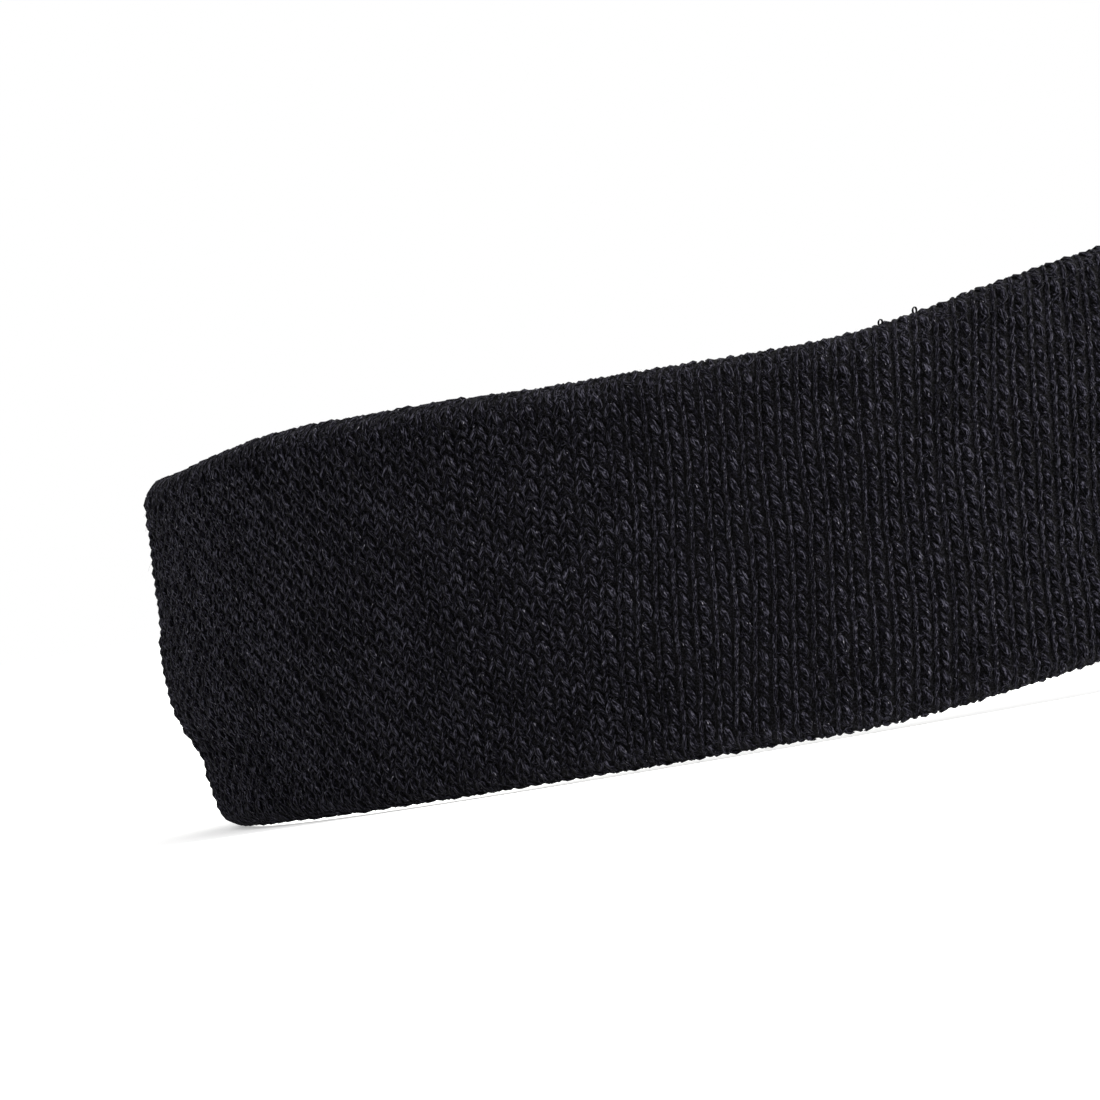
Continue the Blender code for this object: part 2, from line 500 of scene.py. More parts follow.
@dataclass
class Knitter:
    """Loops straight yarns into courses of stitches and wraps them round the band."""

    band: Band
    gauge: Gauge
    seed: int = 7
    wale_skew: float = math.tan(math.radians(6.5))
    upright_from: float = math.radians(-27.0)
    upright_to: float = math.radians(130.0)
    upright_fade: float = math.radians(9.0)
    wander: float = 0.25 * MM
    big_stitch: float = 0.18
    big_out: float = 0.6 * MM
    big_girth: float = 1.4
    loose: float = 0.09 * MM
    uneven: float = 0.04
    take_up: float = 1.9
    map_shift: float = 0.137
    rng: np.random.Generator = field(init=False)

    def __post_init__(self) -> None:
        """Start the random draws."""
        self.rng = np.random.default_rng(self.seed)

    @property
    def pitch(self) -> float:
        """Width of one wale on the outer face."""
        return self.band.girth / self.gauge.wales

    def straight_yarns(self, name: str, loop: LoopShape, courses: int) -> bpy.types.Object:
        """Lay straight yarns side by side, cut into as many rings as their stitches need.

        Args:
            name: the piece's name.
            loop: the stitch that they will be looped into.
            courses: how many yarns there are.

        Returns:
            The yarns as one object, each along +X and one course from the next.
        """
        step = self.pitch / loop.rings
        deselect_all()
        bpy.ops.mesh.primitive_cylinder_add(
            vertices=loop.sides, radius=self.gauge.yarn_radius, depth=step, end_fill_type="NOTHING",
            location=(step / 2.0, 0.0, 0.0), rotation=(math.pi, math.pi / 2.0, 0.0),
        )
        piece = settle(name)
        repeat(piece, loop.rings * self.gauge.wales, (step, 0.0, 0.0), merge=True)
        repeat(piece, courses, (0.0, self.gauge.course, 0.0), merge=False)
        return piece

    def lay(self, name: str, loop: LoopShape, path: OuterPath | InsidePath,
            levels: np.ndarray, first: int = 0) -> bpy.types.Object:
        """Knit a few courses of the cloth.

        Args:
            name: the piece's name.
            loop: the stitch's shape.
            path: the cloth's way over the band's section.
            levels: where each course lies across the cloth.
            first: number of the first course, which says where the large stitches are.

        Returns:
            The courses as one object.
        """
        piece = self.straight_yarns(name, loop, len(levels))
        straight = points_of(piece)
        course = np.rint(straight[:, 1] / self.gauge.course).astype(int)
        ring = np.rint(straight[:, 0] / (self.pitch / loop.rings)).astype(int)
        side_way = (straight[:, 1] - course * self.gauge.course) / self.gauge.yarn_radius
        up_way = straight[:, 2] / self.gauge.yarn_radius
        self.keep_yarn_map(piece, straight, course)

        centre, girth = self.centre_lines(loop, levels, first)
        following = np.concatenate([centre[:, 1:], centre[:, 1:2] + [self.band.girth, 0.0, 0.0]], axis=1)
        before = np.concatenate([centre[:, -2:-1] - [self.band.girth, 0.0, 0.0], centre[:, :-1]], axis=1)
        tangent = following - before
        tangent /= np.linalg.norm(tangent, axis=-1, keepdims=True)
        upward = np.array([0.0, 0.0, 1.0]) - tangent[..., 2:3] * tangent
        upward /= np.linalg.norm(upward, axis=-1, keepdims=True)
        sideward = np.cross(upward, tangent)
        radius = self.gauge.yarn_radius * girth[course, ring][:, None]
        cloth = centre[course, ring] + radius * (
            side_way[:, None] * sideward[course, ring] + up_way[:, None] * upward[course, ring])
        move_points(piece, self.wrap(path, cloth))
        weld(piece)
        smooth(piece)
        return piece

    def centre_lines(self, loop: LoopShape, levels: np.ndarray,
                     first: int) -> tuple[np.ndarray, np.ndarray]:
        """Centre line of each course in the flat cloth.

        Args:
            loop: the stitch's shape.
            levels: where each course lies across the cloth.
            first: number of the first course.

        Returns:
            Rings as along, across and out, and the yarn's relative girth at each ring.
        """
        wales, rings = self.gauge.wales, loop.rings
        count = wales * rings + 1
        index = np.arange(count)
        step, wale = index % rings, index // rings
        bell = np.sin(math.pi * step / rings) ** 0.6
        courses = len(levels)
        numbers = first + np.arange(courses)
        big = np.where((numbers[:, None] + wale[None, :]) % 2 == 0, 1.0, -1.0)
        strays = self.rng.normal(0.0, self.loose, (courses, wales, 3))
        strays = strays[:, wale % wales, :] * bell[None, :, None]
        fat = 1.0 + self.rng.normal(0.0, self.uneven, (courses, wales))[:, wale % wales] * bell
        angle = self.band.angle_at(index / (count - 1.0))
        upright = smooth_step((angle - self.upright_from) / self.upright_fade)
        upright = upright * smooth_step((self.upright_to - angle) / self.upright_fade)
        # The upright left legs of large and small stitches look nearly the same.
        left_leg = np.asarray(loop.upright)[step] < 0.0
        big = big * self.big_stitch * np.where(left_leg, 0.8 - 0.4 * upright, 0.8 + 0.2 * upright)
        along = np.asarray(loop.along)[step] * (1.0 - upright) + np.asarray(loop.upright)[step] * upright
        along = (wale + 0.5 + along)[None, :] * self.pitch + strays[..., 0]
        local = np.asarray(loop.across)[step][None, :] * self.gauge.course * (1.0 + big * bell)
        across = levels[:, None] + local + strays[..., 1]
        out = np.asarray(loop.out)[step][None, :] + big * bell * self.big_out + strays[..., 2]
        girth = np.asarray(loop.girth)[step][None, :] * fat * (1.0 + self.big_girth * big)
        return np.stack([along, across, out], axis=-1), girth

    def wrap(self, path: OuterPath | InsidePath, cloth: np.ndarray) -> np.ndarray:
        """Wrap flat cloth round the band.

        Args:
            path: the cloth's way over the section.
            cloth: rows of along, across and out.

        Returns:
            Rows of x, y and z.
        """
        along, across, out = cloth[:, 0], cloth[:, 1], cloth[:, 2]
        share = along / self.band.girth
        sway, heave = (
            sum(size * np.sin(count * FULL_TURN * share + lean * across + start)
                for size, count, lean, start in waves) for waves in (SWAY, HEAVE))
        share = share + (self.wale_skew * across + self.wander * sway) / self.band.girth
        depth, height = path.section(across + 0.5 * self.wander * heave, out)
        angle = path.direction * self.band.angle_at(share)
        return self.band.place(angle, depth, height)

    def keep_yarn_map(self, piece: bpy.types.Object, straight: np.ndarray, course: np.ndarray) -> None:
        """Write the yarn's own map, in metres along it and round it, for its fibres.

        Args:
            piece: the straight yarns.
            straight: their vertex places.
            course: the course of each vertex, which shifts the map so that no two yarns look the same.
        """
        layer = piece.data.uv_layers.active
        layer.name = "Yarn"
        flat = np.empty(len(piece.data.loops) * 2, dtype=np.float32)
        layer.data.foreach_get("uv", flat)
        around = flat.reshape(-1, 2)[:, 0].astype(float) * FULL_TURN * self.gauge.yarn_radius
        vertex = np.empty(len(piece.data.loops), dtype=np.int32)
        piece.data.loops.foreach_get("vertex_index", vertex)
        # A yarn is about twice as long as its row of stitches.
        along = straight[vertex, 0] * self.take_up + course[vertex] * self.map_shift
        layer.data.foreach_set("uv", np.stack([along, around], axis=-1).astype(np.float32).ravel())


# ---- finishes


def add_node(tree: bpy.types.NodeTree, kind: str, links: dict[str | int, bpy.types.NodeSocket] | None = None,
             values: dict[str | int, object] | None = None, stops: tuple[tuple[float, str], ...] = (),
             **settings: object) -> bpy.types.Node:
    """Add a node with its settings, socket values and links.

    Args:
        tree: the material's node tree.
        kind: the node's type.
        links: output sockets to link to inputs, by the input's name or number.
        values: values of inputs, by name or number.
        stops: a colour ramp's places and hex colours.
        settings: properties of the node itself.

    Returns:
        The new node.
    """
    node = tree.nodes.new(kind)
    for key, value in settings.items():
        setattr(node, key, value)
    for key, value in (values or {}).items():
        node.inputs[key].default_value = value
    for key, socket in (links or {}).items():
        tree.links.new(socket, node.inputs[key])
    if stops:
        elements = node.color_ramp.elements
        while len(elements) < len(stops):
            elements.new(0.5)
        for element, (place, code) in zip(elements, stops):
            element.position = place
            element.color = srgb(code)
    return node


def new_material(
        name: str, **values: object) -> tuple[bpy.types.Material, bpy.types.NodeTree, bpy.types.Node]:
    """Start a material that has a Principled shader.

    Args:
        name: the material's name.
        values: the shader's own values, by input name with _ for each space.

    Returns:
        The material, its node tree and its shader.
    """
    material = bpy.data.materials.new(name)
    material.use_nodes = True
    tree = material.node_tree
    shader = tree.nodes["Principled BSDF"]
    for key, value in values.items():
        shader.inputs[key.replace("_", " ")].default_value = value
    return material, tree, shader


@dataclass(frozen=True)
class BlackYarn:
    """Spun black cotton and acrylic yarn: matt, with fine fibres whose catch of the light is painted into
    their colour as glints and sparkles.

    Most fibres wind along the yarn and shorter ones cross them. Each set is an angle to the yarn in
    degrees, the length of a fibre that shows and how ragged it is.
    """

    name: str = "spun_black_yarn"
    shadow: str = "#000001"
    body: str = "#040407"
    fibre: str = "#0d0c12"
    # The glint colour is a painted highlight on the brightest fibres.
    painted_glint: str = "#3e3d47"
    # The spark colour is a painted highlight on a few spots.
    painted_sparkle: str = "#77757d"
    roughness: float = 0.85
    specular: float = 0.03
    sheen: float = 0.02
    sheen_roughness: float = 0.35
    relief: float = 0.17 * MM
    relief_strength: float = 0.9
    spacing: float = 0.12 * MM
    wound: tuple[float, float, float] = (25.0, 0.55 * MM, 1.0)
    crossing: tuple[float, float, float] = (-42.0, 0.36 * MM, 1.0)
    # The last set only places the painted sparkles.
    sparkle_spots: tuple[float, float, float] = (25.0, 0.26 * MM, 0.0)
    patch: float = 6.0 * MM
    patch_share: float = 0.12

    def build(self) -> bpy.types.Material:
        """Make the material.

        Returns:
            The finished material.
        """
        material, tree, shader = new_material(
            self.name, Roughness=self.roughness, Specular_IOR_Level=self.specular,
            Sheen_Weight=self.sheen, Sheen_Roughness=self.sheen_roughness)
        yarn = add_node(tree, "ShaderNodeUVMap", uv_map="Yarn")
        sets = []
        for lean, length, detail in (self.wound, self.crossing, self.sparkle_spots):
            turned = add_node(tree, "ShaderNodeMapping", {"Vector": yarn.outputs["UV"]},
                              {"Rotation": (0.0, 0.0, math.radians(lean))})
            drawn = add_node(tree, "ShaderNodeMapping", {"Vector": turned.outputs["Vector"]},
                             {"Scale": (1.0 / length, 1.0 / self.spacing, 1.0)})
            sets.append(add_node(tree, "ShaderNodeTexNoise", {"Vector": drawn.outputs["Vector"]},
                                 {"Scale": 1.0, "Detail": detail, "Roughness": 0.6}, noise_dimensions="2D"))
        fibres = add_node(tree, "ShaderNodeMath", {0: sets[0].outputs["Fac"], 1: sets[1].outputs["Fac"]},
                          operation="MAXIMUM")
        # Patches of slightly lighter and darker dye, a few stitches wide.
        place = add_node(tree, "ShaderNodeTexCoord")
        patches = add_node(tree, "ShaderNodeTexNoise", {"Vector": place.outputs["Object"]},
                           {"Scale": 1.0 / self.patch, "Detail": 2.0})
        dyed = add_node(tree, "ShaderNodeMath", {0: patches.outputs["Fac"], 2: fibres.outputs["Value"]},
                        {1: self.patch_share}, operation="MULTIPLY_ADD")
        # The top stop of the ramp is a painted glint on the brightest fibres.
        colours = add_node(tree, "ShaderNodeValToRGB", {"Fac": dyed.outputs["Value"]}, stops=(
            (0.48, self.shadow), (0.58, self.body), (0.67, self.fibre), (0.825, self.painted_glint)))
        # Here and there a short spot gets a painted sparkle: a bright colour that stands in for a highlight.
        painted_sparkles = add_node(tree, "ShaderNodeValToRGB", {"Fac": sets[2].outputs["Fac"]},
                          stops=((0.86, "#000000"), (0.92, self.painted_sparkle)))
        lit = add_node(tree, "ShaderNodeMix", {6: colours.outputs["Color"], 7: painted_sparkles.outputs["Color"]},
                       {0: 1.0}, data_type="RGBA", blend_type="LIGHTEN")
        relief = add_node(tree, "ShaderNodeBump", {"Height": fibres.outputs["Value"]},
                          {"Strength": self.relief_strength, "Distance": self.relief})
        tree.links.new(lit.outputs[2], shader.inputs["Base Color"])
        tree.links.new(relief.outputs["Normal"], shader.inputs["Normal"])
        return material


@dataclass(frozen=True)
class GrainedFinish:
    """A finish whose colours and relief both come from one fine grain, dark in its hollows."""

    name: str
    dark: str
    light: str
    grain: float = 0.3 * MM
    relief: float = 0.08 * MM
    strength: float = 0.7
    roughness: float = 0.6
    specular: float = 0.3
    sheen: float = 0.0
    detail: float = 2.0
    span: tuple[float, float] = (0.3, 0.7)

    def pattern(self, tree: bpy.types.NodeTree) -> bpy.types.Node:
        """Draw the grain, evenly in every direction.

        Args:
            tree: the material's node tree.

        Returns:
            The node that draws it.
        """
        place = add_node(tree, "ShaderNodeTexCoord")
        return add_node(tree, "ShaderNodeTexNoise", {"Vector": place.outputs["Object"]},
                        {"Scale": 1.0 / self.grain, "Detail": self.detail})

    def build(self) -> bpy.types.Material:
        """Make the material.

        Returns:
            The finished material.
        """
        material, tree, shader = new_material(
            self.name, Roughness=self.roughness, Specular_IOR_Level=self.specular, Sheen_Weight=self.sheen)
        grain = self.pattern(tree).outputs["Fac"]
        colours = add_node(tree, "ShaderNodeValToRGB", {"Fac": grain},
                           stops=((self.span[0], self.dark), (self.span[1], self.light)))
        relief = add_node(tree, "ShaderNodeBump", {"Height": grain},
                          {"Strength": self.strength, "Distance": self.relief})
        tree.links.new(colours.outputs["Color"], shader.inputs["Base Color"])
        tree.links.new(relief.outputs["Normal"], shader.inputs["Normal"])
        return material


@dataclass(frozen=True)
class GroundCloth(GrainedFinish):
    """The knit's dark depth behind its loops: crossing yarns that hardly any light reaches."""

    name: str = "knit_ground"
    dark: str = "#000000"
    light: str = "#17161b"
    grain: float = 0.17 * MM
    relief: float = 0.15 * MM
    strength: float = 0.8
    roughness: float = 0.95
    specular: float = 0.1
    detail: float = 1.0
    span: tuple[float, float] = (0.46, 0.66)


@dataclass(frozen=True)
class CoveredElastic(GrainedFinish):
    """Elastic wound with fine textured nylon: dark, slightly glossy and finely grained."""

    name: str = "covered_elastic"
    dark: str = "#1b1a1e"
    light: str = "#35343a"
    grain: float = 0.25 * MM
    relief: float = 0.05 * MM
    strength: float = 0.6
    roughness: float = 0.55
    specular: float = 0.5
    detail: float = 1.0


@dataclass(frozen=True)
class LinkingYarn(GrainedFinish):
    """Two-ply polyester linking yarn: near black and matt."""

    name: str = "linking_yarn"
    dark: str = "#0e0e10"
    light: str = "#232227"
    roughness: float = 0.8


@dataclass(frozen=True)
class PaleThread(GrainedFinish):
    """Two-ply polyester sewing thread: grey-white, with a slight gloss."""

    name: str = "pale_sewing_thread"
    dark: str = "#6d6a64"
    light: str = "#8f8c85"


@dataclass(frozen=True)
class SatinTape(GrainedFinish):
    """Woven polyester satin, off-white: smooth, with a soft shine across its fine ribs."""

    name: str = "label_satin_tape"
    dark: str = "#86837b"
    light: str = "#a6a39c"
    grain: float = 0.45 * MM
    relief: float = 0.05 * MM
    strength: float = 0.4
    roughness: float = 0.42
    specular: float = 0.5
    sheen: float = 0.25
    span: tuple[float, float] = (0.1, 0.8)

    def pattern(self, tree: bpy.types.NodeTree) -> bpy.types.Node:
        """Draw ribs that run up the tape, further apart than real ones so that they show.

        Args:
            tree: the material's node tree.

        Returns:
            The node that draws them.
        """
        place = add_node(tree, "ShaderNodeTexCoord")
        # At a scale of 1, a wave texture has a rib every pi / 10.
        return add_node(tree, "ShaderNodeTexWave", {"Vector": place.outputs["Object"]},
                        {"Scale": math.pi / (10.0 * self.grain), "Distortion": 0.6, "Detail": self.detail},
                        bands_direction="X")


# ---- the knitted layers


@dataclass
class KnittedLayer:
    """One layer of the band, in place of a CAD node: a ground cloth and the courses of stitches on it."""

    name: str
    node: str
    slot: Slot
    knitter: Knitter
    path: OuterPath | InsidePath
    yarn: bpy.types.Material
    ground: bpy.types.Material
    ground_sink: float = 0.18 * MM
    ground_thickness: float = 0.25 * MM
    ground_steps: int = 132
    ground_row: float = 1.2 * MM
    end_room: float = 0.6

    def levels(self) -> np.ndarray:
        """Where the courses lie across the cloth.

        Returns:
            Ways from the middle of the front, evenly spaced and inside the layer's ends.
        """
        course = self.knitter.gauge.course
        room = self.path.half_length - self.end_room * course
        count = 2 * int(room / course) + 1
        return (np.arange(count) - (count - 1) / 2.0) * course

    def knit(self, groups: list[tuple[str, slice, LoopShape]]) -> list[bpy.types.Object]:
        """Knit the layer's courses, a few to a piece.

        Args:
            groups: each piece's name, its courses and its stitch.

        Returns:
            The pieces.
        """
        levels = self.levels()
        pieces = []
        for name, courses, loop in groups:
            start = courses.indices(len(levels))[0]
            piece = self.knitter.lay(name, loop, self.path, levels[courses], start)
            finish_piece(piece, self.yarn, self.slot)
            pieces.append(piece)
        return pieces

    def lay_ground(self, pieces: list[bpy.types.Object]) -> None:
        """Make the thin closed cloth behind the stitches, which is the sheet that they are knitted on.

        Args:
            pieces: the stitches on it; not used.
        """
        band = self.knitter.band
        width = 2.0 * self.path.half_length
        deselect_all()
        bpy.ops.mesh.primitive_grid_add(
            x_subdivisions=self.ground_steps, y_subdivisions=int(width / self.ground_row), size=1.0,
            location=(0.5, 0.0, 0.0))
        ground = settle(f"{self.name}_ground_cloth")
        cloth = points_of(ground) * [band.girth, width, 0.0]
        cloth[:, 2] = -self.ground_sink
        depth, height = self.path.section(cloth[:, 1], cloth[:, 2])
        angle = self.path.direction * band.angle_at(cloth[:, 0] / band.girth)
        move_points(ground, band.place(angle, depth, height))
        weld(ground)
        apply_modifier(ground, "SOLIDIFY", thickness=self.ground_thickness, offset=-1.0)
        smooth(ground)
        finish_piece(ground, self.ground, self.slot, self.node)
        band.girth


# ---- chains, tacks and label


@dataclass
class LinkingChains:
    """The two chains of linking yarn in the joints of the inside, and the tacks that end them."""

    knitter: Knitter
    yarn: bpy.types.Material
    tack_angle: float = math.radians(171.0)
    tack_wraps: int = 6
    tack_height: float = 3.4 * MM
    tack_radius: float = 0.26 * MM
    tack_step: float = 0.42 * MM
    tack_lift: float = 0.1 * MM
    tack_lean: float = 0.25
    sink: float = 0.35 * MM

    def levels(self) -> dict[str, float]:
        """Work out where the two joints lie.

        Returns:
            The lower and the upper joint's height.
        """
        band = self.knitter.band
        low = band.lip_height + band.joint / 2.0
        return {"lower": low, "upper": band.height - low}

    def build(self) -> None:
        """Make the chains and their tacks."""
        for side, level in self.levels().items():
            self.chain(side, level)
            self.tack(side, level)

    def chain(self, side: str, level: float) -> None:
        """Make one chain of two strands.

        Args:
            side: lower or upper.
            level: the joint's height.
        """
        path = InsidePath(self.knitter.band, level, self.sink)
        strands = [
            self.knitter.lay("strand", chain_strand(turn), path, np.zeros(1)) for turn in (0.0, math.pi)]
        take(strands[0])
        strands[1].select_set(True)
        bpy.ops.object.join()
        piece = settle(f"linking_chain_{side}")
        finish_piece(piece, self.yarn, Slot.CHAIN, f"linking_thread_{side}")

    def tack(self, side: str, level: float) -> None:
        """Make the wrapped tack at a chain's end.

        Args:
            side: lower or upper.
            level: the joint's height.
        """
        band = self.knitter.band
        size = (self.tack_radius * 1.1, self.tack_radius, self.tack_height / 2.0)
        piece = bead_row(f"linking_tack_wraps_{side}", size, self.tack_wraps, self.tack_step)
        local = points_of(piece)
        angle = self.tack_angle + FULL_TURN * (local[:, 0] / band.girth)
        depth = band.thickness + self.tack_lift - local[:, 1]
        move_points(piece, band.place(angle, depth, level + local[:, 2] + self.tack_lean * local[:, 0]))
        piece.data.flip_normals()
        smooth(piece)
        finish_piece(piece, self.yarn, Slot.CHAIN, f"linking_tack_{side}")


@dataclass
class CareLabel:
    """The blank satin tape inside the back, which hangs from its row of stitches."""

    band: Band
    satin: bpy.types.Material
    thread: bpy.types.Material
    width: float = 13.2 * MM
    height: float = 16.0 * MM
    thickness: float = 0.35 * MM
    edge_round: float = 0.08 * MM
    middle: float = math.radians(-175.0)
    gap: float = 0.1 * MM
    lift: float = 0.15 * MM
    curl: float = 0.9 * MM
    stitches: int = 7
    stitch_share: float = 0.42
    stitch_below: float = 1.5 * MM
    stitch_lift: float = 0.36 * MM

    def lay(self, piece: bpy.types.Object, points: np.ndarray) -> None:
        """Lay a flat piece on the inside of the back.

        Args:
            piece: the piece.
            points: its points, as along, up and out from the label's lower middle.
        """
        low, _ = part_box("care_label")
        angle = self.middle - points[:, 0] / (self.band.half_width - self.band.thickness)
        depth = self.band.thickness + self.gap + points[:, 2]
        move_points(piece, self.band.place(angle, depth, low[2] + points[:, 1]))

    def build(self) -> None:
        """Make the tape and its stitches."""
        deselect_all()
        bpy.ops.mesh.primitive_grid_add(x_subdivisions=24, y_subdivisions=28, size=1.0)
        tape = settle("label_tape")
        flat = points_of(tape) * [self.width, self.height, 0.0]
        flat[:, 1] += self.height / 2.0
        # The free lower end curls away from the cloth, at one corner more than at the other.
        below = 1.0 - flat[:, 1] / self.height
        corner = 0.6 + 0.4 * np.sin(flat[:, 0] / self.width * 4.0)
        flat[:, 2] = self.lift + self.curl * below ** 2 * corner
        self.lay(tape, flat)
        apply_modifier(tape, "SOLIDIFY", thickness=self.thickness, offset=0.0)
        apply_modifier(tape, "BEVEL", width=self.edge_round, segments=2, limit_method="ANGLE")
        smooth(tape)
        finish_piece(tape, self.satin, Slot.SATIN, "care_label")
        self.sew()

    def sew(self) -> None:
        """Make the row of stitches along the label's head."""
        step = self.width / (self.stitches + 1.0)
        size = (step * self.stitch_share, 0.22 * MM, 0.20 * MM)
        row = bead_row("label_stitch_row", size, self.stitches, step)
        first = (-step * (self.stitches - 1) / 2.0, self.height - self.stitch_below, self.stitch_lift)
        self.lay(row, points_of(row) + first)
        smooth(row)
        finish_piece(row, self.thread, Slot.THREAD, "label_stitching")


# ---- loose fibres


@dataclass
class LooseFibres:
    """Short fibres that stand out of the yarn, and the few small loops that have worked out of it."""

    knitter: Knitter
    path: OuterPath
    yarn: bpy.types.Material
    seed: int = 23
    count: int = 3400
    radius: float = 0.016 * MM
    steps: int = 5
    root: float = 0.15 * MM
    loops: tuple[float, ...] = (1.1, 3.8, 40.0, 74.0, 121.0, 168.0, -133.0)
    loop_radius: float = 0.14 * MM
    loop_width: float = 0.22 * MM
    loop_root: float = 0.4 * MM
    loop_steps: int = 10

    def strands(self, name: str, count: int, radius: float, steps: int) -> bpy.types.Object:
        """Lay out straight strands, one beside the next.

        Args:
            name: the piece's name.
            count: how many there are.
            radius: their radius.
            steps: how many stretches each has.

        Returns:
            The strands, each along +X at a whole number of metres in Y.
        """
        deselect_all()
        bpy.ops.mesh.primitive_cylinder_add(
            vertices=3, radius=radius, depth=1.0, end_fill_type="NGON", location=(0.5, 0.0, 0.0),
            rotation=(0.0, math.pi / 2.0, 0.0))
        piece = settle(name)
        bpy.ops.object.mode_set(mode="EDIT")
        for cut in range(1, steps):
            bpy.ops.mesh.select_all(action="SELECT")
            bpy.ops.mesh.bisect(plane_co=(cut / steps, 0.0, 0.0), plane_no=(1.0, 0.0, 0.0))
        bpy.ops.object.mode_set(mode="OBJECT")
        repeat(piece, count, (0.0, 1.0, 0.0), merge=False)
        return piece

    def bend(self, piece: bpy.types.Object, lines: np.ndarray, taper: float) -> None:
        """Give each strand its own line in the flat cloth and wrap it round the band.

        Args:
            piece: the straight strands.
            lines: one line for each strand, as along, across and out at each step.
            taper: how thin the tip is, as a share of the root.
        """
        straight = points_of(piece)
        strand = np.rint(straight[:, 1]).astype(int)
        step = np.rint(straight[:, 0] * (lines.shape[1] - 1)).astype(int)
        tangent = np.gradient(lines, axis=1)
        tangent /= np.linalg.norm(tangent, axis=-1, keepdims=True) + 1e-12
        helper = np.array([0.31, 0.59, 0.74])
        first = np.cross(np.broadcast_to(helper, tangent.shape), tangent)
        first /= np.linalg.norm(first, axis=-1, keepdims=True) + 1e-12
        second = np.cross(tangent, first)
        thin = 1.0 - (1.0 - taper) * step / (lines.shape[1] - 1.0)
        cloth = lines[strand, step] + thin[:, None] * (
            (straight[:, 1] - strand)[:, None] * first[strand, step]
            + straight[:, 2][:, None] * second[strand, step])
        move_points(piece, self.knitter.wrap(self.path, cloth))
        smooth(piece)

    def fibre_lines(self) -> np.ndarray:
        """Draw the fibres' lines in the flat cloth, each turning and sinking as it goes.

        Returns:
            One line for each fibre, as along, across and out at each step.
        """
        rng = np.random.default_rng(self.seed)
        reach = self.path.flat / 2.0 + math.pi * self.path.roll * 0.8
        lines = np.empty((self.count, self.steps + 1, 3))
        lines[:, 0, 0] = rng.uniform(0.0, self.knitter.band.girth, self.count)
        lines[:, 0, 1] = rng.uniform(-reach, reach, self.count)
        lines[:, 0, 2] = self.root
        heading = rng.uniform(0.0, FULL_TURN, self.count)
        turn = rng.normal(0.0, 0.5, self.count)
        climb = rng.uniform(0.05, 0.9, self.count) ** 2
        length = rng.uniform(0.10, 0.42, self.count) * MM
        for step in range(1, self.steps + 1):
            heading = heading + turn
            climb = climb - 0.10
            lines[:, step, 0] = lines[:, step - 1, 0] + length * np.cos(heading)
            lines[:, step, 1] = lines[:, step - 1, 1] + length * np.sin(heading)
            lines[:, step, 2] = np.maximum(lines[:, step - 1, 2] + length * climb, 0.1 * MM)
        return lines

    def loop_lines(self) -> np.ndarray:
        """Draw the lines of the loops that stand up from the upper edge.

        Returns:
            One line for each loop, as along, across and out at each step.
        """
        girth = self.knitter.band.girth
        turns = np.linspace(0.0, 1.0, self.loop_steps + 1)
        edge = self.path.flat / 2.0 + 0.5 * math.pi * self.path.roll
        rows = []
        for number, angle in enumerate(self.loops):
            share = (np.interp(math.radians(angle), *self.knitter.band.arc_table()) / girth) % 1.0
            along = share * girth - self.knitter.wale_skew * edge
            rise = (1.8 + 0.2 * (number % 2)) * MM
            rows.append(np.stack([
                along - self.loop_width * np.sin(FULL_TURN * turns),
                edge + 0.2 * MM * np.sin(3.0 * turns),
                -self.loop_root + rise * (1.0 - np.cos(FULL_TURN * turns)) / 2.0], axis=-1))
        return np.asarray(rows)

    def build(self) -> list[bpy.types.Object]:
        """Make the fibres and the loops.

        Returns:
            The two pieces.
        """
        fibres = self.strands("loose_fibres", self.count, self.radius, self.steps)
        self.bend(fibres, self.fibre_lines(), 0.5)
        loops = self.strands("stray_loops", len(self.loops), self.loop_radius, self.loop_steps)
        self.bend(loops, self.loop_lines(), 1.0)
        for piece in (fibres, loops):
            finish_piece(piece, self.yarn, Slot.OUTER)
        return [fibres, loops]


# ---- studio


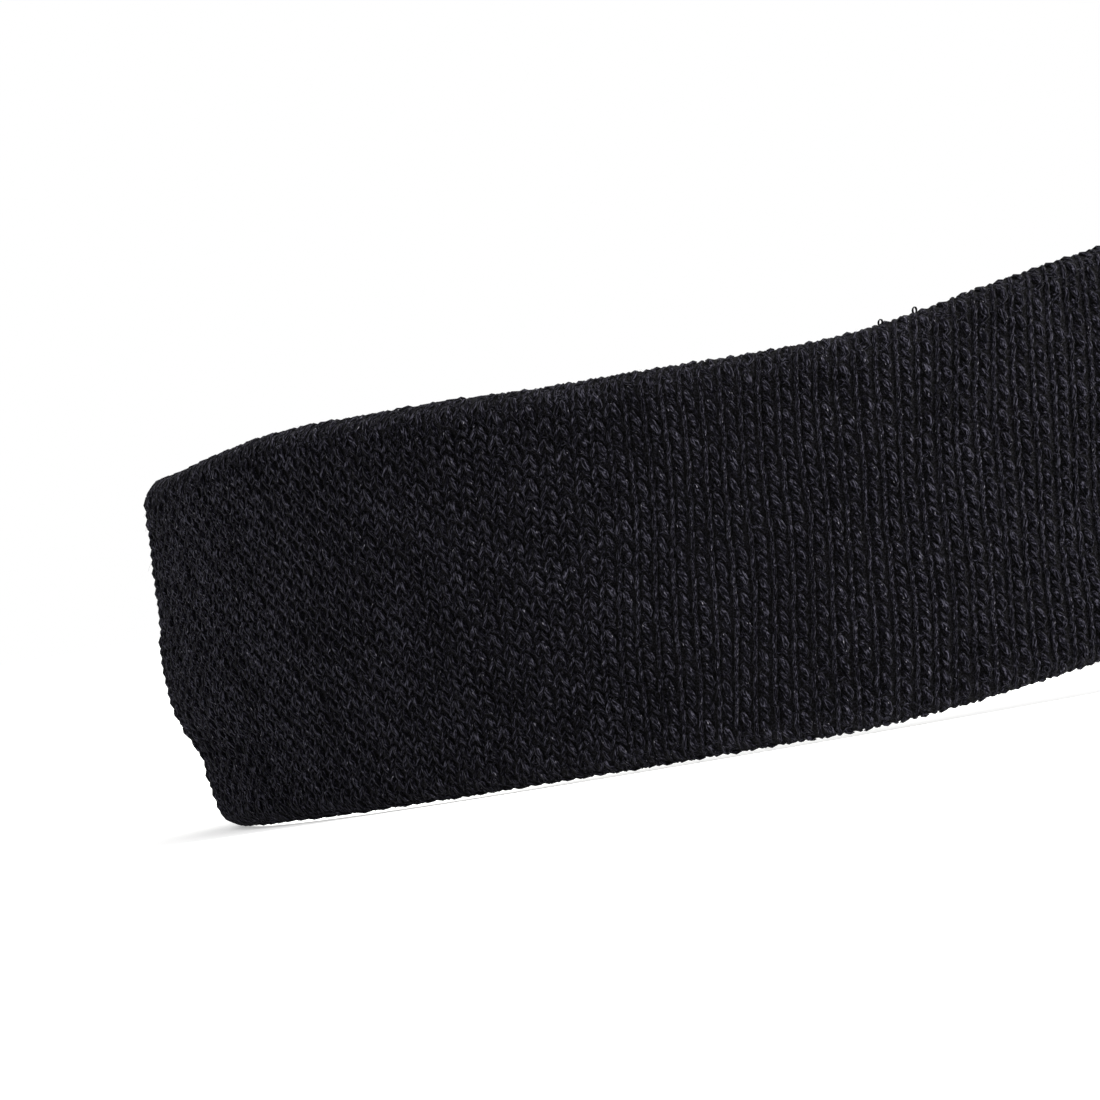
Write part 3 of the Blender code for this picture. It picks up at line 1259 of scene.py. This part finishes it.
@dataclass
class Studio:
    """White seamless table, soft light from above and a long-lens camera level with the band.

    A lamp is its name, its place, its side in metres and its power in watts.
    """

    floor_size: float = 14.0
    distance: float = 1.29
    camera_side: float = -0.03705
    camera_height: float = 0.0253
    lens: float = 391.7
    roll: float = math.radians(9.9)
    lamp_colour: tuple[float, float, float] = (1.0, 0.995, 0.95)
    lamps: tuple[tuple[str, tuple[float, float, float], float, float], ...] = (
        ("key_light", (1.1, -1.0, 1.3), 0.6, 70.0),
        ("back_light", (0.3, 1.6, 1.5), 1.4, 14.0),
    )

    def build(self, low: tuple[float, float, float]) -> None:
        """Make the floor, the world, the lights and the camera.

        Args:
            low: the object's lowest corner.
        """
        self.floor(low[2])
        self.world()
        for lamp in self.lamps:
            self.lamp(*lamp)
        self.camera(low[1])
        bpy.context.scene.view_settings.view_transform = "Standard"

    def floor(self, level: float) -> None:
        """Lay the white table just under the band.

        Args:
            level: height of the band's lowest point.
        """
        deselect_all()
        bpy.ops.mesh.primitive_circle_add(
            vertices=96, radius=self.floor_size, fill_type="NGON", location=(0.0, 0.0, level - 0.2 * MM))
        floor = settle("white_table")
        material, _, _ = new_material(
            "white_seamless_paper", Base_Color=srgb("#f7f7f7"), Roughness=0.9, Specular_IOR_Level=0.0,
            Emission_Color=srgb("#ffffff"), Emission_Strength=0.35)
        floor.data.materials.append(material)
        floor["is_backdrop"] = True

    def world(self) -> None:
        """Surround the band with even white."""
        world = bpy.data.worlds.new("white_surround")
        bpy.context.scene.world = world
        world.use_nodes = True
        sky = world.node_tree.nodes["Background"]
        sky.inputs["Color"].default_value = (1.0, 1.0, 1.0, 1.0)
        sky.inputs["Strength"].default_value = 1.0

    def lamp(self, name: str, place: tuple[float, float, float], size: float, power: float) -> None:
        """Hang a soft square light that faces the band.

        Args:
            name: the lamp's name.
            place: where it hangs.
            size: its side, in metres.
            power: its power, in watts.
        """
        deselect_all()
        aim = np.arctan2(math.hypot(place[0], place[1]), place[2])
        turn = math.atan2(place[1], place[0]) + math.pi / 2.0
        bpy.ops.object.light_add(type="AREA", location=place, rotation=(float(aim), 0.0, turn))
        light = bpy.context.active_object
        light.name = name
        light.data.size = size
        light.data.energy = power
        light.data.color = self.lamp_colour

    def camera(self, front: float) -> None:
        """Stand the camera in front of the band, rolled so that the band climbs to the right.

        Args:
            front: place of the band's front along Y.
        """
        deselect_all()
        bpy.ops.object.camera_add(
            location=(self.camera_side, front - self.distance, self.camera_height),
            rotation=(math.pi / 2.0, self.roll, 0.0))
        camera = bpy.context.active_object
        camera.name = "camera"
        camera.data.lens = self.lens
        camera.data.sensor_width = 36.0
        camera.data.clip_start = 0.05
        camera.data.clip_end = 40.0
        bpy.context.scene.camera = camera


# ---- the whole band


@dataclass
class Headband:
    """The whole band: two layers, the chains that join them, the label and the threads between them."""

    knitter: Knitter
    yarn: bpy.types.Material
    ground: bpy.types.Material
    face_pieces: int = 6
    face_courses: int = 5
    inner_pieces: int = 3

    def build(self) -> None:
        """Make every piece of the band."""
        self.outer()
        self.inner()
        LinkingChains(self.knitter, LinkingYarn().build()).build()
        CareLabel(self.knitter.band, SatinTape().build(), PaleThread().build()).build()
        self.elastics()

    def outer(self) -> None:
        """Make the outer layer, with finer stitches on its front than over the edges."""
        layer = KnittedLayer("outer_layer", "outer_knit_layer", Slot.OUTER, self.knitter,
                             OuterPath(self.knitter.band), self.yarn, self.ground)
        count = len(layer.levels())
        face = self.face_pieces * self.face_courses
        edge = (count - face) // 2
        groups = [("lower_edge_stitches", slice(0, edge), EDGE_LOOP)]
        for number in range(self.face_pieces):
            start = edge + self.face_courses * number
            groups.append((f"face_stitches_{number + 1}", slice(start, start + self.face_courses), FACE_LOOP))
        groups.append(("upper_edge_stitches", slice(edge + face, count), EDGE_LOOP))
        stitches = layer.knit(groups)
        stitches += LooseFibres(self.knitter, layer.path, self.yarn).build()
        layer.lay_ground(stitches)

    def inner(self) -> None:
        """Make the inner layer."""
        path = InsidePath(self.knitter.band, self.knitter.band.height / 2.0)
        layer = KnittedLayer("inner_layer", "inner_knit_layer", Slot.INNER, self.knitter, path,
                             self.yarn, self.ground)
        share = math.ceil(len(layer.levels()) / self.inner_pieces)
        layer.lay_ground(layer.knit([
            (f"inner_stitches_{number + 1}", slice(share * number, share * (number + 1)), EDGE_LOOP)
            for number in range(self.inner_pieces)]))

    def elastics(self) -> None:
        """Give the CAD's elastic threads, which lie between the layers, their own finish."""
        material = CoveredElastic().build()
        for name, node in sorted(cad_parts.items()):
            if name.startswith("elastic_thread_"):
                for slot in node.material_slots:
                    slot.material = material
                LOG.info("%s: dressed", name)


def main() -> None:
    """Build the studio and the band."""
    cad_low, cad_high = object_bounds()
    Studio().build(tuple(cad_low))
    Headband(Knitter(Band(), Gauge()), BlackYarn().build(), GroundCloth().build()).build()


if __name__ == "__main__":
    logging.basicConfig(level=logging.INFO, format="%(name)s: %(message)s")
    main()
